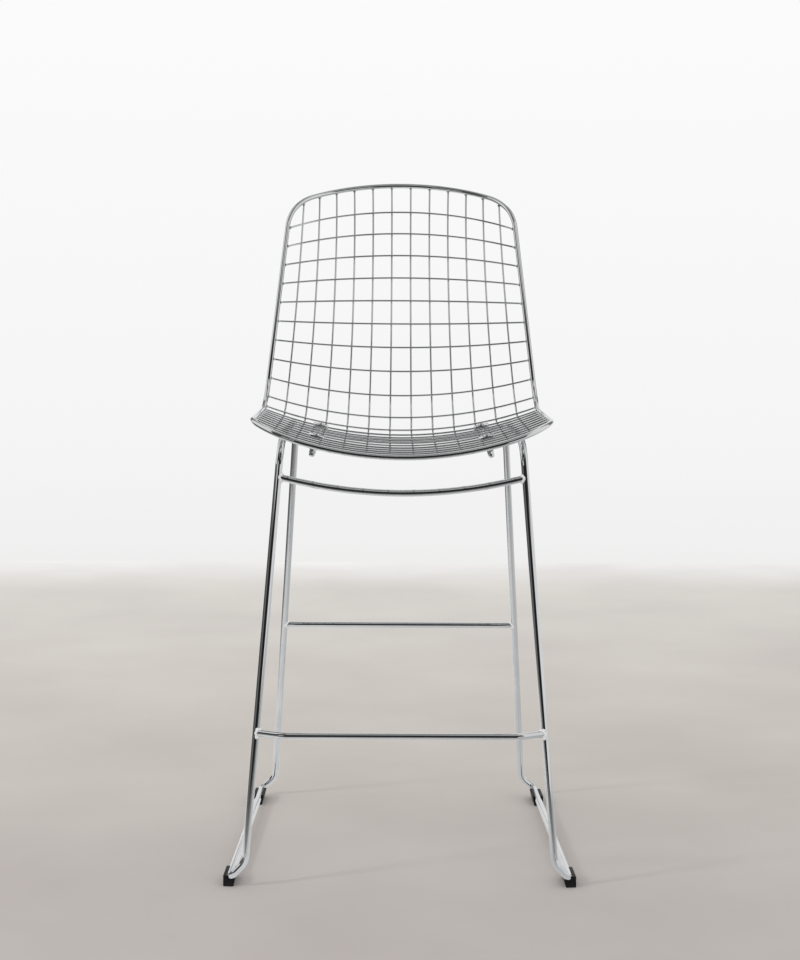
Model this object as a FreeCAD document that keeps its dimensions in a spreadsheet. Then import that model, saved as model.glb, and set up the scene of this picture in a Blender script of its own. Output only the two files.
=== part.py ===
import FreeCAD, Part
import math
import os
from types import SimpleNamespace

import Sketcher
from FreeCAD import Placement, Rotation, Vector

# Wire bar stool, in millimetres.
# +Z is up, the sitter faces -Y, and the origin is on the floor under the middle of the outline.
# Left is -X and right is +X, as seen from the front.

# Driving dimensions: alias, value, meaning
DIMENSIONS = (
    ("wire_diameter", 3.0, "mesh wire"),
    ("rim_diameter", 8.0, "rod round the edge of the shell"),
    ("frame_diameter", 11.0, "rod of the two side frames"),
    ("bar_diameter", 10.0, "rod of the bars between the side frames"),
    ("wire_layer_gap", 0.1, "clearance between the two layers of mesh wire"),
    ("weld_gap", 0.05, "clearance of the wire ends off the rim, and of the lugs off the seat rods"),
    ("seat_rest_gap", 0.15, "clearance between the mesh and the rods that carry it"),
    ("seat_front_y", -282.35, "front edge of the shell, on the centre line"),
    ("seat_front_height", 637.5, "height of the front edge, on the centre line"),
    ("seat_front_slope", -2.25, "slope of the seat at its front, in degrees"),
    ("seat_rear_slope", 2.6, "slope of the seat at the start of the bend, in degrees"),
    ("seat_run", 340.0, "length of the seat along the centre line"),
    ("bend_radius", 76.0, "bend from seat to back, on the centre line"),
    ("back_low_angle", 73.0, "slope of the back above the bend, in degrees"),
    ("back_top_angle", 58.5, "slope of the back at its top, in degrees"),
    ("back_run", 380.0, "length of the back along the centre line"),
    ("side_rise", 47.5, "height of the seat's side edge above its front edge"),
    ("side_front_set", 2.0, "front corner of the side edge behind the front edge"),
    ("side_corner_set", 32.0, "rear corner of the side edge behind the end of the seat run"),
    ("side_rear_drop", 5.5, "rear corner of the side edge below its front corner"),
    ("side_back_angle", 70.0, "slope of the back's side edge, in degrees"),
    ("side_back_short", 35.15, "how much the back's side edge is shorter than the back run"),
    ("side_bend_radius", 65.0, "bend of the rim from seat to back"),
    ("shell_front_half", 218.3, "half width of the shell at its front corners"),
    ("shell_rear_half", 217.5, "half width of the shell at the bend"),
    ("shell_top_half", 183.0, "half width of the shell at its top corners"),
    ("front_corner", 81.0, "rounding of the rim's front corners"),
    ("top_corner", 38.0, "rounding of the rim's top corners"),
    ("long_wire_count", 12, "wires from the front edge to the top edge"),
    ("back_wire_count", 10, "cross wires from the top down into the bend"),
    ("seat_wire_count", 10, "cross wires from the bend to the front"),
    ("top_wire_margin", 52.5, "first cross wire below the top edge"),
    ("back_wire_pitch", 40.5, "spacing of the cross wires on the back"),
    ("seat_wire_pitch", 34.8, "spacing of the cross wires on the seat"),
    ("front_seat_wire", 17, "cross wire above the front seat rod, counted from the top"),
    ("rear_seat_wire", 12, "cross wire above the rear seat rod, counted from the top"),
    ("anchor_overhang", 8.0, "anchor wire past the clamps"),
    ("rail_front_half", 174.0, "half distance between the seat rails at the front seat rod"),
    ("rail_rear_half", 169.0, "half distance between the seat rails at the rear seat rod"),
    ("rail_front_overhang", 78.0, "corner of the rail in front of the front seat rod"),
    ("rail_rear_overhang", 46.0, "corner of the rail behind the rear seat rod"),
    ("front_knee_half", 227.5, "half distance between the front legs at the knee"),
    ("front_knee_y", -263.25, "knee of the front legs"),
    ("front_knee_height", 37.0, "height of the front knee"),
    ("rear_knee_half", 210.4, "half distance between the rear legs at the knee"),
    ("rear_knee_y", 233.65, "knee of the rear legs"),
    ("rear_knee_height", 33.0, "height of the rear knee"),
    ("runner_front_half", 250.6, "half distance between the runners at their front corners"),
    ("runner_front_y", -263.25, "front corner of the runners"),
    ("runner_rear_half", 233.4, "half distance between the runners at their rear corners"),
    ("runner_rear_y", 239.65, "rear corner of the runners"),
    ("rail_bend", 40.0, "bend between rail and leg"),
    ("knee_bend", 24.0, "bend at the knees"),
    ("runner_bend", 12.0, "bend between foot and runner"),
    ("bow_drop", 55.0, "ends of the front bow below the rail"),
    ("bow_sag", 23.5, "middle of the front bow below its ends"),
    ("foot_bar_height", 227.5, "height of the front foot bar"),
    ("foot_bar_forward", 20.0, "middle of the foot bar in front of the legs"),
    ("foot_bar_inset", 40.0, "bends of the foot bar inside the legs"),
    ("foot_bar_bend", 30.0, "bends of the foot bar"),
    ("rear_bar_height", 311.0, "height of the rear stretcher"),
    ("glide_sole", 7.0, "thickness of a glide under the runner"),
    ("glide_gap", 0.1, "clearance of a glide round the runner"),
    ("glide_height", 16.5, "height of a glide"),
    ("glide_jaw", 3.7, "thickness of a glide's jaws beside the runner"),
    ("glide_taper", 3.4, "how much a glide's inner side leans in towards the sole"),
    ("glide_length", 48.0, "length of a glide"),
    ("glide_front_set", 1.0, "front end of a front glide behind the runner's front corner"),
    ("glide_rear_set", 16.0, "rear end of a rear glide in front of the runner's rear corner"),
    ("glide_rounding", 1.2, "rounding of a glide's long lower edges"),
    ("clamp_width", 24.0, "width of a seat clamp plate"),
    ("clamp_groove_gap", 0.4, "clearance of the clamp plate's groove round its cross wire"),
    ("clamp_web", 1.6, "clamp plate above its groove"),
    ("clamp_rounding", 4.0, "rounding of the clamp plate's corners"),
    ("clamp_rear_flat", 0.3, "flat of the plate's side between its groove and its rear corner"),
    ("clamp_front", 8.0, "clamp plate in front of its bolt"),
    ("bolt_diameter", 6.0, "seat bolt"),
    ("bolt_offset", 10.0, "seat bolt in front of the cross wire"),
    ("bolt_hole_gap", 0.4, "clearance of the bolt holes, on the diameter"),
    ("bolt_head_diameter", 10.5, "head of the seat bolt"),
    ("bolt_head_height", 3.3, "height of the bolt's head"),
    ("bolt_head_crown", 6.5, "flat on top of the bolt's head"),
    ("bolt_socket", 4.0, "hexagon socket across flats"),
    ("bolt_socket_depth", 2.0, "depth of the hexagon socket"),
    ("lug_width", 16.0, "width of a bolt lug"),
    ("lug_thickness", 3.0, "thickness of a bolt lug"),
    ("lug_rear", 5.0, "bolt lug behind its seat rod"),
    ("nut_across", 10.0, "cap nut across flats"),
    ("nut_height", 5.5, "height of the cap nut's hexagon"),
    ("nut_dome_height", 6.5, "height of the cap nut's dome"),
    ("nut_dome_diameter", 9.2, "diameter of the cap nut's dome"),
    ("nut_dome_rounding", 4.2, "rounding of the cap nut's dome"),
    ("nut_thread_gap", 0.1, "clearance of the nut round the bolt, on the diameter"),
    ("bolt_reach", 8.0, "bolt inside its cap nut"),
)

doc = FreeCAD.newDocument("wire_bar_stool")
sheet = doc.addObject("Spreadsheet::Sheet", "dims")
for row, (alias, value, meaning) in enumerate(DIMENSIONS, start=1):
    sheet.set("A%d" % row, meaning)
    sheet.set("B%d" % row, str(value))
    sheet.setAlias("B%d" % row, alias)
doc.recompute()
size = SimpleNamespace(**{alias: sheet.get(alias) for alias, value, meaning in DIMENSIONS})
nodes = []


def keep(obj, node):
    """Name a finished sub-part and put it on the list of nodes to write."""
    obj.Label = node
    nodes.append((node, obj))
    return obj


def mirrored(point):
    return Vector(-point.x, point.y, point.z)


# Paths of straight runs and tangent arcs

def arc_from(start, tangent, end):
    """Arc that leaves start along tangent and reaches end, or a line where they are in line."""
    chord = end - start
    along = Vector(chord).normalize()
    aside = tangent - along * tangent.dot(along)
    if aside.Length < 1e-6:
        return Part.LineSegment(start, end).toShape()
    half_turn = math.atan2(aside.Length, tangent.dot(along)) / 2
    middle = (start + end) * 0.5 + aside.normalize() * (chord.Length / 2 * math.tan(half_turn))
    return Part.Arc(start, middle, end).toShape()


def biarc(start, start_tangent, end, end_tangent):
    """Two tangent arcs between two points with given directions."""
    chord = end - start
    both = start_tangent + end_tangent
    spread = 2 * (1 - start_tangent.dot(end_tangent))
    reach = chord.dot(both)
    if spread < 1e-9:
        arm = chord.dot(chord) / (2 * reach)
    else:
        arm = (math.sqrt(reach * reach + spread * chord.dot(chord)) - reach) / spread
    joint = (start + end + (start_tangent - end_tangent) * arm) * 0.5
    joint_tangent = (end - end_tangent * arm - start - start_tangent * arm).normalize()
    return [arc_from(start, start_tangent, joint), arc_from(joint, joint_tangent, end)]


def smooth_path(stations):
    """Tangent arcs through a list of (point, direction)."""
    edges = []
    for (start, start_tangent), (end, end_tangent) in zip(stations, stations[1:]):
        edges += biarc(start, start_tangent, end, end_tangent)
    return edges


def corner_arc(before, corner, after, radius):
    """Tangent points, centre and directions of the bend at a corner of a bent rod."""
    into = (corner - before).normalize()
    out = (after - corner).normalize()
    turn = into.getAngle(out)
    tangent = radius * math.tan(turn / 2)
    side = (out - into * out.dot(into)).normalize()
    start = corner - into * tangent
    return SimpleNamespace(start=start, end=corner + out * tangent, centre=start + side * radius,
                           into=into, side=side, turn=turn, radius=radius, tangent=tangent)


def point_on_bend(bend, share):
    """Point a share of the way round a bend."""
    angle = bend.turn * share
    outward = bend.side * (-bend.radius * math.cos(angle))
    return bend.centre + outward + bend.into * (bend.radius * math.sin(angle))


def bend_edge(bend):
    return Part.Arc(bend.start, point_on_bend(bend, 0.5), bend.end).toShape()


def bent_rod(corners, radii, closed):
    """Straight runs between corners, with a bend of its own radius at each corner that has one."""
    count = len(corners)
    indices = range(count) if closed else range(1, count - 1)
    bends = [corner_arc(corners[i - 1], corners[i], corners[(i + 1) % count], radii[i]) for i in indices]
    edges = []
    last = bends[-1].end if closed else corners[0]
    for bend in bends:
        edges.append(Part.LineSegment(last, bend.start).toShape())
        edges.append(bend_edge(bend))
        last = bend.end
    if not closed:
        edges.append(Part.LineSegment(last, corners[-1]).toShape())
    return edges


def rod(name, edges, diameter, clearance=None):
    """Round rod along a path, its section bound to a named diameter and, if given, a named clearance."""
    path = doc.addObject("Part::Feature", name + "_path")
    path.Shape = Part.Wire(Part.__sortEdges__(edges))
    first = path.Shape.OrderedEdges[0]
    start = path.Shape.OrderedVertexes[0].Point
    heading = first.tangentAt(first.getParameterByLength(0))
    section = doc.addObject("Part::Circle", name + "_section")
    radius = "dims.%s / 2" % diameter
    section.setExpression("Radius", radius if clearance is None else "%s + dims.%s" % (radius, clearance))
    section.Placement = Placement(start, Rotation(Vector(0, 0, 1), heading))
    sweep = doc.addObject("Part::Sweep", name + "_rod")
    sweep.Sections = [section]
    sweep.Spine = (path, ["Edge%d" % (i + 1) for i in range(len(path.Shape.Edges))])
    sweep.Solid = True
    sweep.Frenet = False
    return sweep


# Form of the shell: a centre line, a side edge, and circular arcs across between them

SLOPES = [math.radians(angle) for angle in (
    size.seat_front_slope, size.seat_rear_slope, size.back_low_angle, size.back_top_angle)]
ZONES = (size.seat_run, size.bend_radius * (SLOPES[2] - SLOPES[1]), size.back_run)
SHELL_RUN = sum(ZONES)


def zone_of(s):
    """Zone of the centre line, 0 seat, 1 bend, 2 back, and the distance into it."""
    for zone, length in enumerate(ZONES[:-1]):
        if s <= length:
            return zone, s
        s -= length
    return len(ZONES) - 1, s


def centre_line(s):
    """Point of the centre line, a distance s from the front edge."""
    here = Vector(0, size.seat_front_y, size.seat_front_height)
    last, rest = zone_of(s)
    for zone in range(last + 1):
        distance = rest if zone == last else ZONES[zone]
        slope = SLOPES[zone]
        curvature = (SLOPES[zone + 1] - slope) / ZONES[zone]
        ahead = slope + curvature * distance
        forward = (math.sin(ahead) - math.sin(slope)) / curvature
        upward = (math.cos(slope) - math.cos(ahead)) / curvature
        here += Vector(0, forward, upward)
    return here


SIDE_HEIGHT = size.seat_front_height + size.side_rise
SIDE_FRONT = Vector(size.shell_front_half, size.seat_front_y + size.side_front_set, SIDE_HEIGHT)
SIDE_REAR = Vector(size.shell_rear_half, centre_line(size.seat_run).y + size.side_corner_set,
                   SIDE_HEIGHT - size.side_rear_drop)
SIDE_SLOPE = math.radians(size.side_back_angle)
SIDE_CLIMB = Vector(0, math.cos(SIDE_SLOPE), math.sin(SIDE_SLOPE)) * (size.back_run - size.side_back_short)
SIDE_TOP = Vector(size.shell_top_half, SIDE_REAR.y + SIDE_CLIMB.y, SIDE_REAR.z + SIDE_CLIMB.z)
SIDE_BEND = corner_arc(SIDE_FRONT, SIDE_REAR, SIDE_TOP, size.side_bend_radius)


def side_edge(s):
    """Point of the right side edge that goes with a distance s on the centre line."""
    zone, distance = zone_of(s)
    share = distance / ZONES[zone]
    if zone == 0:
        return SIDE_FRONT + (SIDE_BEND.start - SIDE_FRONT) * share
    if zone == 1:
        return point_on_bend(SIDE_BEND, share)
    return SIDE_BEND.end + (SIDE_TOP - SIDE_BEND.end) * share


def shell_point(u, s):
    """Point of the shell: u runs from -1 to 1 across it, s from the front edge to the top."""
    middle = centre_line(s)
    edge = side_edge(s)
    offset = Vector(0, edge.y - middle.y, edge.z - middle.z)
    radius = (edge.x ** 2 + offset.Length ** 2) / (2 * offset.Length)
    angle = u * 2 * math.atan2(offset.Length, edge.x)
    across = Vector(radius * math.sin(angle), 0, 0)
    return middle + across + offset * (radius * (1 - math.cos(angle)) / offset.Length)


def shell_along(u, s):
    return (shell_point(u, s + 1) - shell_point(u, s - 1)).normalize()


def shell_across(u, s):
    return (shell_point(u + 0.002, s) - shell_point(u - 0.002, s)).normalize()


def shell_normal(u, s):
    """Direction square to the shell, towards the sitter."""
    return shell_across(u, s).cross(shell_along(u, s)).normalize()


def off_shell(u, s, height):
    return shell_point(u, s) + shell_normal(u, s) * height


def halved_arc(start, middle, end):
    """Arc through three points, as two equal arcs."""
    arc = Part.Arc(start, middle, end).toShape()
    return arc.split((arc.FirstParameter + arc.LastParameter) / 2).Edges


def across_arc(u, s, height):
    """Arc across the shell, at a height off it."""
    return halved_arc(*[off_shell(v, s, height) for v in (-u, 0, u)])


def least(measure, low, high):
    """Value between low and high where measure is least."""
    ratio = (math.sqrt(5) - 1) / 2
    while high - low > 1e-4 * (1 + abs(high)):
        inner = high - ratio * (high - low)
        outer = low + ratio * (high - low)
        if measure(inner) < measure(outer):
            high = outer
        else:
            low = inner
    return (low + high) / 2


# Rim: one rod round the edge of the shell

def share_across(x, s):
    """Share across the shell where it is x from the centre line."""
    return least(lambda u: abs(shell_point(u, s).x - x), 0, 1)


def rim_edges():
    front = share_across(size.shell_front_half - size.front_corner, 0)
    top = share_across(size.shell_top_half - size.top_corner, SHELL_RUN)
    front_end = shell_point(front, 0)
    top_end = shell_point(top, SHELL_RUN)
    seat_heading = (SIDE_REAR - SIDE_FRONT).normalize()
    back_heading = (SIDE_TOP - SIDE_REAR).normalize()
    seat_start = SIDE_FRONT + seat_heading * size.front_corner
    back_end = SIDE_TOP - back_heading * size.top_corner
    side = biarc(front_end, shell_across(front, 0), seat_start, seat_heading)
    side.append(Part.LineSegment(seat_start, SIDE_BEND.start).toShape())
    side.append(bend_edge(SIDE_BEND))
    side.append(Part.LineSegment(SIDE_BEND.end, back_end).toShape())
    side += biarc(back_end, back_heading, top_end, shell_across(top, SHELL_RUN) * -1)
    other = [edge.mirror(Vector(0, 0, 0), Vector(1, 0, 0)) for edge in side]
    top_arc = Part.Arc(top_end, shell_point(0, SHELL_RUN), mirrored(top_end)).toShape()
    front_arc = Part.Arc(mirrored(front_end), shell_point(0, 0), front_end).toShape()
    return side + [top_arc] + other + [front_arc]


keep(rod("seat_rim", rim_edges(), "rim_diameter"), "seat_rim")
RIM_PATH = Part.Wire(Part.__sortEdges__(rim_edges()))


def rests_on_rim(centre, heading):
    """True where the square end of a wire is as near the rim as the weld gap lets it be."""
    end_face = Part.Face(Part.Wire(Part.Circle(centre, heading, size.wire_diameter / 2).toShape()))
    return end_face.distToShape(RIM_PATH)[0] <= size.rim_diameter / 2 + size.weld_gap


def wire_end(point_at, clear, far):
    """Place between clear and far, on a wire's line, where its square end comes to rest on the rim."""
    def to_rim(place):
        return Part.Vertex(point_at(place)).distToShape(RIM_PATH)[0]

    inside = least(to_rim, min(clear, far), max(clear, far))
    step = (inside - clear) / 1000
    while abs(inside - clear) > abs(step) / 100:
        middle = (inside + clear) / 2
        heading = (point_at(middle + step) - point_at(middle - step)).normalize()
        if rests_on_rim(point_at(middle), heading):
            inside = middle
        else:
            clear = middle
    return clear


# Mesh: cross wires on the sitter's side, long wires behind them, their ends welded to the rim

LAYER = (size.wire_diameter + size.wire_layer_gap) / 2
FIRST_STATION = SHELL_RUN - size.top_wire_margin
CROSS_STATIONS = [FIRST_STATION - i * size.back_wire_pitch for i in range(size.back_wire_count)]
CROSS_STATIONS += [CROSS_STATIONS[-1] - i * size.seat_wire_pitch for i in range(1, size.seat_wire_count + 1)]
CELL = 2 / (size.long_wire_count + 1)
SPANS = (3, 4, 4)

for number, s in enumerate(CROSS_STATIONS, start=1):
    name = "cross_wire_%02d" % number
    u_end = wire_end(lambda u: off_shell(u, s, LAYER), 0.7, 1)
    keep(rod(name, across_arc(u_end, s, LAYER), "wire_diameter"), name)


def long_path(u, start, end):
    """Path of a long wire, with nodes at even steps in each zone between its ends."""
    marks = []
    zone_start = 0
    for zone, spans in zip(ZONES, SPANS):
        marks += [zone_start + zone * i / spans for i in range(1, spans + 1)]
        zone_start += zone
    step = ZONES[0] / SPANS[0] / 4
    marks = [m for m in marks if start + step < m < end - step]
    marks = [start] + marks + [end]
    heading = [(off_shell(u, s + 2, -LAYER) - off_shell(u, s - 2, -LAYER)).normalize() for s in marks]
    return smooth_path([(off_shell(u, s, -LAYER), h) for s, h in zip(marks, heading)])


for number in range(1, size.long_wire_count + 1):
    name = "long_wire_%02d" % number
    u = -1 + number * CELL
    front = wire_end(lambda s: off_shell(u, s, -LAYER), size.front_corner, 0)
    top = wire_end(lambda s: off_shell(u, s, -LAYER), SHELL_RUN - 2 * size.top_corner, SHELL_RUN)
    keep(rod(name, long_path(u, front, top), "wire_diameter"), name)

# Seat rods under the mesh, which carry it from side frame to side frame

FRONT_ROD = CROSS_STATIONS[size.front_seat_wire - 1]
REAR_ROD = CROSS_STATIONS[size.rear_seat_wire - 1]
ROD_DEPTH = LAYER + size.wire_diameter / 2 + size.seat_rest_gap + size.bar_diameter / 2


def seat_rod_end(s, half):
    """Share across the shell where a seat rod meets the middle of a rail, and that point."""
    u = least(lambda v: abs(off_shell(v, s, -ROD_DEPTH).x - half), 0.3, 1)
    return u, off_shell(u, s, -ROD_DEPTH)


front_u, rail_front = seat_rod_end(FRONT_ROD, size.rail_front_half)
rear_u, rail_rear = seat_rod_end(REAR_ROD, size.rail_rear_half)

# Side frames: rail, legs, knees and runner, bent from one rod

RAIL_HEADING = (rail_rear - rail_front).normalize()
RAIL_FRONT = rail_front - RAIL_HEADING * size.rail_front_overhang
RAIL_REAR = rail_rear + RAIL_HEADING * size.rail_rear_overhang
RUNNER_HEIGHT = size.glide_sole + size.glide_gap + size.frame_diameter / 2
FRONT_KNEE = Vector(size.front_knee_half, size.front_knee_y, size.front_knee_height)
RUNNER_FRONT = Vector(size.runner_front_half, size.runner_front_y, RUNNER_HEIGHT)
RUNNER_REAR = Vector(size.runner_rear_half, size.runner_rear_y, RUNNER_HEIGHT)
REAR_KNEE = Vector(size.rear_knee_half, size.rear_knee_y, size.rear_knee_height)
FRAME_CORNERS = [RAIL_FRONT, FRONT_KNEE, RUNNER_FRONT, RUNNER_REAR, REAR_KNEE, RAIL_REAR]
HALF_BENDS = [size.rail_bend, size.knee_bend, size.runner_bend]
FRAME_BENDS = HALF_BENDS + HALF_BENDS[::-1]
SIDE_CORNERS = {"right": FRAME_CORNERS, "left": [mirrored(corner) for corner in FRAME_CORNERS]}


def upper_run(side):
    """Path of a side frame's rail and legs."""
    edges = bent_rod(SIDE_CORNERS[side], FRAME_BENDS, True)
    return edges[-2:] + edges[:3]


def lower_run(side):
    """Path of a side frame's knees, feet and runner."""
    return bent_rod(SIDE_CORNERS[side], FRAME_BENDS, True)[3:-2]


def side_frame(side):
    """Closed loop welded from an upper rod, rail and legs, and a lower one, knees and runner."""
    name = "side_frame_" + side
    loop = doc.addObject("Part::Fuse", name + "_loop")
    loop.Base = rod(name + "_upper", upper_run(side), "frame_diameter")
    loop.Tool = rod(name + "_lower", lower_run(side), "frame_diameter")
    loop.Refine = True
    return keep(loop, name)


frames = [side_frame("right"), side_frame("left")]
both_frames = doc.addObject("Part::Compound", "both_side_frames")
both_frames.Links = frames


def bar(name, edges):
    """Bar between the side frames, its ends cut to sit on their rods."""
    cut = doc.addObject("Part::Cut", name + "_coped")
    cut.Base = rod(name, edges, "bar_diameter")
    cut.Tool = both_frames
    return keep(cut, name)


def on_leg(top, knee, height):
    """Point of a leg's middle at a height."""
    return top + (knee - top) * ((top.z - height) / (top.z - knee.z))


bar("front_seat_rod", across_arc(front_u, FRONT_ROD, -ROD_DEPTH))
bar("rear_seat_rod", across_arc(rear_u, REAR_ROD, -ROD_DEPTH))

bow_end = on_leg(RAIL_FRONT, FRONT_KNEE, RAIL_FRONT.z - size.bow_drop)
bow_middle = Vector(0, bow_end.y, bow_end.z - size.bow_sag)
bar("front_bow", halved_arc(bow_end, bow_middle, mirrored(bow_end)))

foot_end = on_leg(RAIL_FRONT, FRONT_KNEE, size.foot_bar_height)
foot_bend = foot_end - Vector(size.foot_bar_inset, size.foot_bar_forward, 0)
foot_corners = [foot_end, foot_bend, mirrored(foot_bend), mirrored(foot_end)]
bar("front_foot_bar", bent_rod(foot_corners, [0, size.foot_bar_bend, size.foot_bar_bend, 0], False))

rear_end = on_leg(RAIL_REAR, REAR_KNEE, size.rear_bar_height)
bar("rear_stretcher", [Part.LineSegment(rear_end, mirrored(rear_end)).toShape()])

# Anchor wires: short long wires that make a narrow pocket for the seat bolts

ANCHOR_U = {"right": 8 * CELL / 2, "left": -8 * CELL / 2}
BOLT_U = {"right": 7.5 * CELL / 2, "left": -7.5 * CELL / 2}
GROOVE_HALF = (size.wire_diameter + size.clamp_groove_gap) / 2
CLAMP_REAR = GROOVE_HALF + size.clamp_rear_flat + size.clamp_rounding
anchor_front = FRONT_ROD - size.bolt_offset - size.clamp_front - size.anchor_overhang
anchor_rear = REAR_ROD + CLAMP_REAR + size.anchor_overhang
for side, u in ANCHOR_U.items():
    name = "anchor_wire_" + side
    keep(rod(name, long_path(u, anchor_front, anchor_rear), "wire_diameter"), name)


# Sketched bodies

def new_body(name, placement):
    body = doc.addObject("PartDesign::Body", name)
    body.Placement = placement
    return body


def sketch_on(body, name, role):
    plane = [f for f in body.Origin.OriginFeatures if f.Role == role][0]
    sketch = body.newObject("Sketcher::SketchObject", name)
    sketch.AttachmentSupport = (plane, [""])
    sketch.MapMode = "FlatFace"
    return sketch


def bind(sketch, constraint, formula):
    """Add a dimension to a sketch and bind it to a formula in the sheet's names."""
    index = sketch.addConstraint(constraint)
    sketch.setExpression("Constraints[%d]" % index, formula)


def outline(body, name, role, corners):
    """Closed outline of straight lines, each corner's place bound to two formulas."""
    sketch = sketch_on(body, name, role)
    places = [Vector(sheet.evalExpression(x), sheet.evalExpression(y), 0) for x, y in corners]
    count = len(corners)
    for i in range(count):
        sketch.addGeometry(Part.LineSegment(places[i], places[(i + 1) % count]), False)
    for i in range(count):
        sketch.addConstraint(Sketcher.Constraint("Coincident", i, 2, (i + 1) % count, 1))
    for i, (x, y) in enumerate(corners):
        bind(sketch, Sketcher.Constraint("DistanceX", i, 1, places[i].x), x)
        bind(sketch, Sketcher.Constraint("DistanceY", i, 1, places[i].y), y)
    return sketch


def circle(body, name, role, x, y, radius):
    """Circle whose centre and radius are bound to formulas."""
    sketch = sketch_on(body, name, role)
    centre = Vector(sheet.evalExpression(x), sheet.evalExpression(y), 0)
    reach = sheet.evalExpression(radius)
    sketch.addGeometry(Part.Circle(centre, Vector(0, 0, 1), reach), False)
    bind(sketch, Sketcher.Constraint("DistanceX", 0, 3, centre.x), x)
    bind(sketch, Sketcher.Constraint("DistanceY", 0, 3, centre.y), y)
    bind(sketch, Sketcher.Constraint("Radius", 0, reach), radius)
    return sketch


def pad(body, name, sketch, length, reverse=False, middle=False):
    feature = body.newObject("PartDesign::Pad", name)
    feature.Profile = sketch
    feature.setExpression("Length", length)
    feature.Reversed = reverse
    if middle:
        feature.SideType = "Symmetric"
    return feature


def cut_through(body, name, sketch):
    """Cut through the whole body, both ways from the sketch."""
    feature = body.newObject("PartDesign::Pocket", name)
    feature.Profile = sketch
    feature.SideType = "Symmetric"
    feature.Type = "ThroughAll"
    return feature


def round_edges(body, name, base, chosen, radius):
    """Round the edges of base that the test chosen picks."""
    doc.recompute()
    names = ["Edge%d" % (i + 1) for i, edge in enumerate(base.Shape.Edges) if chosen(edge)]
    feature = body.newObject("PartDesign::Fillet", name)
    feature.Base = (base, names)
    feature.setExpression("Radius", radius)
    return feature


def runs_along(edge, axis):
    """True for a straight edge along an axis of its body."""
    ends = [v.Point for v in edge.Vertexes]
    return len(ends) == 2 and (ends[1] - ends[0]).cross(axis).Length < 1e-6


def hexagon(across):
    """Corners of a hexagon, as formulas of its size across flats."""
    half = "%s / 2" % across
    short = "%s / (2 * sqrt(3))" % across
    tip = "%s / sqrt(3)" % across
    zero = "0 * %s" % across
    return [(half, "-" + short), (half, short), (zero, tip), ("-" + half, short), ("-" + half, "-" + short),
            (zero, "-" + tip)]


def rectangle(half, low, high):
    """Corners of a rectangle about the upright axis of its plane, as formulas."""
    return [("-" + half, low), (half, low), (half, high), ("-" + half, high)]


# Seat clamps: plate over the mesh, lug under the seat rod, bolt and cap nut through both

GROOVE_DEPTH = "(dims.wire_diameter + dims.clamp_groove_gap)"
CLAMP_THICKNESS = "(dims.wire_diameter + dims.clamp_groove_gap + dims.clamp_web)"
LUG_BOTTOM = -(ROD_DEPTH + size.bar_diameter / 2 + size.weld_gap + size.lug_thickness)
BOLT_SEAT = size.wire_layer_gap + sheet.evalExpression(CLAMP_THICKNESS)


def clamp_frame(u, s, height):
    """Frame on the shell at a clamp: X along its cross wire, Z square to the mesh, Y towards the back."""
    up = shell_normal(u, s)
    across = shell_across(u, s)
    return Placement(off_shell(u, s, height), Rotation(across, up.cross(across), up, "ZXY"))


def clamp_plate(name, u, s):
    body = new_body(name, clamp_frame(u, s, size.wire_layer_gap))
    half = "dims.clamp_width / 2"
    front = "-(dims.bolt_offset + dims.clamp_front)"
    rear = "%s / 2 + dims.clamp_rear_flat + dims.clamp_rounding" % GROOVE_DEPTH
    plan = outline(body, name + "_plan", "XY_Plane", rectangle(half, front, rear))
    pad(body, name + "_plate", plan, CLAMP_THICKNESS)
    groove_corners = rectangle(GROOVE_DEPTH + " / 2", "-1", GROOVE_DEPTH)
    groove = outline(body, name + "_groove_line", "YZ_Plane", groove_corners)
    cut_through(body, name + "_groove", groove)
    hole = circle(body, name + "_hole_line", "XY_Plane", "0 * dims.bolt_offset", "-dims.bolt_offset",
                  "(dims.bolt_diameter + dims.bolt_hole_gap) / 2")
    bored = cut_through(body, name + "_hole", hole)
    side_face = size.clamp_width / 2 - 1e-3

    def is_corner(edge):
        at = edge.Vertexes[0]
        return runs_along(edge, Vector(0, 0, 1)) and abs(at.X) > side_face and abs(at.Y) > CLAMP_REAR - 1e-3

    round_edges(body, name + "_corners", bored, is_corner, "dims.clamp_rounding")
    return keep(body, name)


def bolt_lug(name, u, s):
    top = -(ROD_DEPTH + size.bar_diameter / 2 + size.weld_gap)
    body = new_body(name, clamp_frame(u, s, top))
    half = "dims.lug_width / 2"
    front = "-(dims.bolt_offset + dims.lug_width / 2)"
    rear = "dims.lug_rear"
    plan = outline(body, name + "_plan", "XY_Plane", rectangle(half, front, rear))
    pad(body, name + "_plate", plan, "dims.lug_thickness", reverse=True)
    hole = circle(body, name + "_hole_line", "XY_Plane", "0 * dims.bolt_offset", "-dims.bolt_offset",
                  "(dims.bolt_diameter + dims.bolt_hole_gap) / 2")
    bored = cut_through(body, name + "_hole", hole)
    middle = -size.bolt_offset
    round_edges(body, name + "_nose", bored,
                lambda e: runs_along(e, Vector(0, 0, 1)) and e.Vertexes[0].Y < middle - size.lug_width / 4,
                "dims.lug_width / 2 - 0.1")
    return keep(body, name)


def at_bolt(u, s, height):
    """Frame on a clamp's bolt axis."""
    frame = clamp_frame(u, s, height)
    return Placement(frame.multVec(Vector(0, -size.bolt_offset, 0)), frame.Rotation)


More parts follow.
